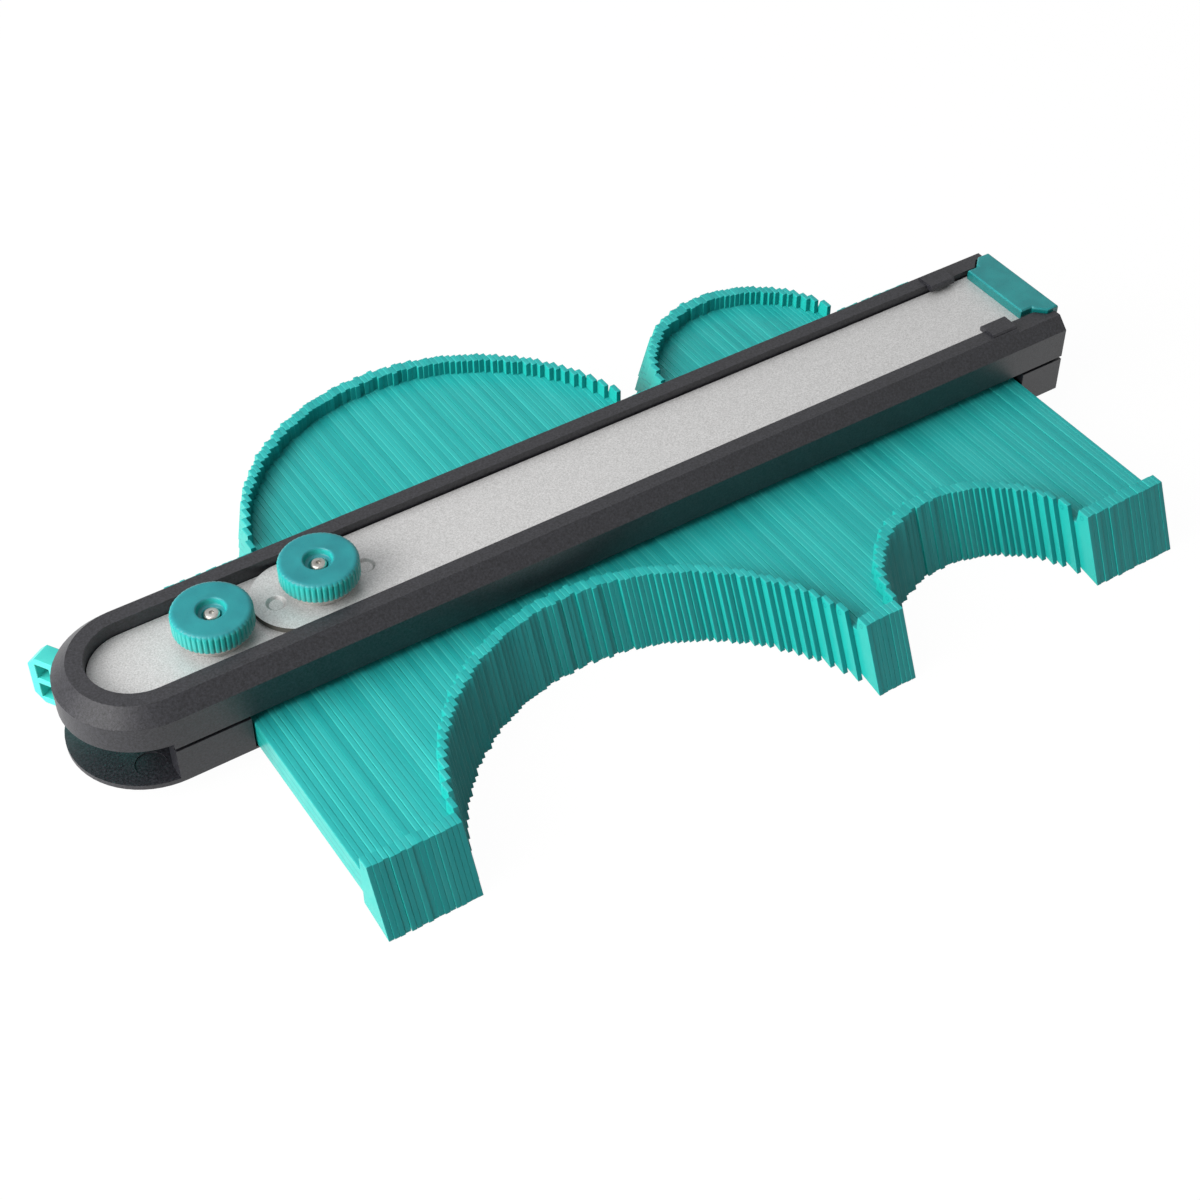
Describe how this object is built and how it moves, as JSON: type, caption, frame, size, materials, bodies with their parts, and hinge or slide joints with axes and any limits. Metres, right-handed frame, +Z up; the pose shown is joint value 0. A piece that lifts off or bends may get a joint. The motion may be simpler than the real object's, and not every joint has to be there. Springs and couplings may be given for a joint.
{
  "type": "contour gauge",
  "caption": "Contour gauge: thin sliding pins in a long housing, with a sliding steel blade, two fluted clamping knobs and a swing-out coupling lug.",
  "frame": {"origin": "centre of the housing's flat underside, halfway along its length", "axes": "+X along the housing towards the blade's end block, +Y towards the pins' rear ends, +Z up"},
  "size_m": [0.3089, 0.1787, 0.0378],
  "materials": {
    "housing_plastic": "fine grain",
    "pin_plastic": "satin",
    "knob_plastic": "satin",
    "strip_steel": "fine blasted",
    "screw_steel": "bright",
    "pad_rubber": "matte"
  },
  "bodies": {
    "housing": {"upper_housing": "housing_plastic", "lower_housing": "housing_plastic", "housing_screws": "screw_steel", "base_strip": "strip_steel", "clamp_bar": "housing_plastic", "clamp_pad": "pad_rubber", "lock_stud": "screw_steel", "lock_collar": "strip_steel", "lug_pin": "screw_steel"},
    "lock_knob": {"lock_knob": "knob_plastic", "lock_knob_screw": "screw_steel"},
    "blade": {"blade": "strip_steel", "end_block": "knob_plastic", "blade_stud": "screw_steel", "blade_collar": "strip_steel"},
    "blade_knob": {"blade_knob": "knob_plastic", "blade_knob_screw": "screw_steel"},
    "coupling_lug": {"coupling_lug": "pin_plastic"},
    "pins_01": {"pins_01": "pin_plastic"},
    "pins_02": {"pins_02": "pin_plastic"},
    "pins_03": {"pins_03": "pin_plastic"},
    "pins_04": {"pins_04": "pin_plastic"},
    "pins_05": {"pins_05": "pin_plastic"},
    "pins_06": {"pins_06": "pin_plastic"},
    "pins_07": {"pins_07": "pin_plastic"},
    "pins_08": {"pins_08": "pin_plastic"},
    "pins_09": {"pins_09": "pin_plastic"},
    "pins_10": {"pins_10": "pin_plastic"},
    "pins_11": {"pins_11": "pin_plastic"},
    "pins_12": {"pins_12": "pin_plastic"},
    "pins_13": {"pins_13": "pin_plastic"},
    "pins_14": {"pins_14": "pin_plastic"},
    "pins_15": {"pins_15": "pin_plastic"},
    "pins_16": {"pins_16": "pin_plastic"},
    "pins_17": {"pins_17": "pin_plastic"},
    "pins_18": {"pins_18": "pin_plastic"},
    "pins_19": {"pins_19": "pin_plastic"},
    "pins_20": {"pins_20": "pin_plastic"},
    "pins_21": {"pins_21": "pin_plastic"},
    "pins_22": {"pins_22": "pin_plastic"},
    "pins_23": {"pins_23": "pin_plastic"},
    "pins_24": {"pins_24": "pin_plastic"},
    "pins_25": {"pins_25": "pin_plastic"},
    "pins_26": {"pins_26": "pin_plastic"},
    "pins_27": {"pins_27": "pin_plastic"},
    "pins_28": {"pins_28": "pin_plastic"},
    "pins_29": {"pins_29": "pin_plastic"},
    "pins_30": {"pins_30": "pin_plastic"},
    "pins_31": {"pins_31": "pin_plastic"},
    "pins_32": {"pins_32": "pin_plastic"},
    "pins_33": {"pins_33": "pin_plastic"},
    "pins_34": {"pins_34": "pin_plastic"},
    "pins_35": {"pins_35": "pin_plastic"},
    "pins_36": {"pins_36": "pin_plastic"},
    "pins_37": {"pins_37": "pin_plastic"},
    "pins_38": {"pins_38": "pin_plastic"},
    "pins_39": {"pins_39": "pin_plastic"},
    "pins_40": {"pins_40": "pin_plastic"},
    "pins_41": {"pins_41": "pin_plastic"}
  },
  "joints": [
    {"name": "lock_knob_turn", "type": "hinge", "parent": "housing", "child": "lock_knob", "pos_m": [-0.111, 0, 0.0258], "axis": [0, 0, 1], "range_deg": [0, 270]},
    {"name": "blade_slide", "type": "slide", "parent": "housing", "child": "blade", "axis": [1, 0, 0], "range_m": [0, 0.19]},
    {"name": "blade_knob_turn", "type": "hinge", "parent": "blade", "child": "blade_knob", "pos_m": [-0.0808, 0, 0.0274], "axis": [0, 0, 1], "range_deg": [0, 270]},
    {"name": "lug_swing", "type": "hinge", "parent": "housing", "child": "coupling_lug", "pos_m": [-0.1351, 0, 0.00885], "axis": [0, 0, 1], "range_deg": [-18, 135]},
    {"name": "pins_01_slide", "type": "slide", "parent": "housing", "child": "pins_01", "axis": [0, 1, 0], "range_m": [-0.00486, 0.05511]},
    {"name": "pins_02_slide", "type": "slide", "parent": "housing", "child": "pins_02", "axis": [0, 1, 0], "range_m": [-0.00471, 0.05528]},
    {"name": "pins_03_slide", "type": "slide", "parent": "housing", "child": "pins_03", "axis": [0, 1, 0], "range_m": [-0.00482, 0.05518]},
    {"name": "pins_04_slide", "type": "slide", "parent": "housing", "child": "pins_04", "axis": [0, 1, 0], "range_m": [-0.00477, 0.05525]},
    {"name": "pins_05_slide", "type": "slide", "parent": "housing", "child": "pins_05", "axis": [0, 1, 0], "range_m": [-0.00496, 0.04194]},
    {"name": "pins_06_slide", "type": "slide", "parent": "housing", "child": "pins_06", "axis": [0, 1, 0], "range_m": [-0.02167, 0.03028]},
    {"name": "pins_07_slide", "type": "slide", "parent": "housing", "child": "pins_07", "axis": [0, 1, 0], "range_m": [-0.03194, 0.02336]},
    {"name": "pins_08_slide", "type": "slide", "parent": "housing", "child": "pins_08", "axis": [0, 1, 0], "range_m": [-0.03831, 0.01757]},
    {"name": "pins_09_slide", "type": "slide", "parent": "housing", "child": "pins_09", "axis": [0, 1, 0], "range_m": [-0.04404, 0.01314]},
    {"name": "pins_10_slide", "type": "slide", "parent": "housing", "child": "pins_10", "axis": [0, 1, 0], "range_m": [-0.04767, 0.01026]},
    {"name": "pins_11_slide", "type": "slide", "parent": "housing", "child": "pins_11", "axis": [0, 1, 0], "range_m": [-0.05086, 0.0073]},
    {"name": "pins_12_slide", "type": "slide", "parent": "housing", "child": "pins_12", "axis": [0, 1, 0], "range_m": [-0.05338, 0.00586]},
    {"name": "pins_13_slide", "type": "slide", "parent": "housing", "child": "pins_13", "axis": [0, 1, 0], "range_m": [-0.05446, 0.00455]},
    {"name": "pins_14_slide", "type": "slide", "parent": "housing", "child": "pins_14", "axis": [0, 1, 0], "range_m": [-0.05546, 0.00393]},
    {"name": "pins_15_slide", "type": "slide", "parent": "housing", "child": "pins_15", "axis": [0, 1, 0], "range_m": [-0.05557, 0.00362]},
    {"name": "pins_16_slide", "type": "slide", "parent": "housing", "child": "pins_16", "axis": [0, 1, 0], "range_m": [-0.05487, 0.0044]},
    {"name": "pins_17_slide", "type": "slide", "parent": "housing", "child": "pins_17", "axis": [0, 1, 0], "range_m": [-0.05352, 0.00515]},
    {"name": "pins_18_slide", "type": "slide", "parent": "housing", "child": "pins_18", "axis": [0, 1, 0], "range_m": [-0.052, 0.00709]},
    {"name": "pins_19_slide", "type": "slide", "parent": "housing", "child": "pins_19", "axis": [0, 1, 0], "range_m": [-0.04877, 0.00883]},
    {"name": "pins_20_slide", "type": "slide", "parent": "housing", "child": "pins_20", "axis": [0, 1, 0], "range_m": [-0.04553, 0.01211]},
    {"name": "pins_21_slide", "type": "slide", "parent": "housing", "child": "pins_21", "axis": [0, 1, 0], "range_m": [-0.04028, 0.01615]},
    {"name": "pins_22_slide", "type": "slide", "parent": "housing", "child": "pins_22", "axis": [0, 1, 0], "range_m": [-0.03463, 0.02062]},
    {"name": "pins_23_slide", "type": "slide", "parent": "housing", "child": "pins_23", "axis": [0, 1, 0], "range_m": [-0.02551, 0.0283]},
    {"name": "pins_24_slide", "type": "slide", "parent": "housing", "child": "pins_24", "axis": [0, 1, 0], "range_m": [-0.01186, 0.03659]},
    {"name": "pins_25_slide", "type": "slide", "parent": "housing", "child": "pins_25", "axis": [0, 1, 0], "range_m": [-0.00468, 0.05526]},
    {"name": "pins_26_slide", "type": "slide", "parent": "housing", "child": "pins_26", "axis": [0, 1, 0], "range_m": [-0.00477, 0.05521]},
    {"name": "pins_27_slide", "type": "slide", "parent": "housing", "child": "pins_27", "axis": [0, 1, 0], "range_m": [-0.00924, 0.04032]},
    {"name": "pins_28_slide", "type": "slide", "parent": "housing", "child": "pins_28", "axis": [0, 1, 0], "range_m": [-0.0215, 0.03439]},
    {"name": "pins_29_slide", "type": "slide", "parent": "housing", "child": "pins_29", "axis": [0, 1, 0], "range_m": [-0.02754, 0.02961]},
    {"name": "pins_30_slide", "type": "slide", "parent": "housing", "child": "pins_30", "axis": [0, 1, 0], "range_m": [-0.03092, 0.02767]},
    {"name": "pins_31_slide", "type": "slide", "parent": "housing", "child": "pins_31", "axis": [0, 1, 0], "range_m": [-0.03308, 0.0263]},
    {"name": "pins_32_slide", "type": "slide", "parent": "housing", "child": "pins_32", "axis": [0, 1, 0], "range_m": [-0.03346, 0.02618]},
    {"name": "pins_33_slide", "type": "slide", "parent": "housing", "child": "pins_33", "axis": [0, 1, 0], "range_m": [-0.03221, 0.02665]},
    {"name": "pins_34_slide", "type": "slide", "parent": "housing", "child": "pins_34", "axis": [0, 1, 0], "range_m": [-0.02995, 0.02844]},
    {"name": "pins_35_slide", "type": "slide", "parent": "housing", "child": "pins_35", "axis": [0, 1, 0], "range_m": [-0.0257, 0.03098]},
    {"name": "pins_36_slide", "type": "slide", "parent": "housing", "child": "pins_36", "axis": [0, 1, 0], "range_m": [-0.01793, 0.03636]},
    {"name": "pins_37_slide", "type": "slide", "parent": "housing", "child": "pins_37", "axis": [0, 1, 0], "range_m": [-0.00494, 0.04445]},
    {"name": "pins_38_slide", "type": "slide", "parent": "housing", "child": "pins_38", "axis": [0, 1, 0], "range_m": [-0.00466, 0.0552]},
    {"name": "pins_39_slide", "type": "slide", "parent": "housing", "child": "pins_39", "axis": [0, 1, 0], "range_m": [-0.00481, 0.05515]},
    {"name": "pins_40_slide", "type": "slide", "parent": "housing", "child": "pins_40", "axis": [0, 1, 0], "range_m": [-0.00477, 0.05528]},
    {"name": "pins_41_slide", "type": "slide", "parent": "housing", "child": "pins_41", "axis": [0, 1, 0], "range_m": [-0.00483, 0.0552]}
  ]
}
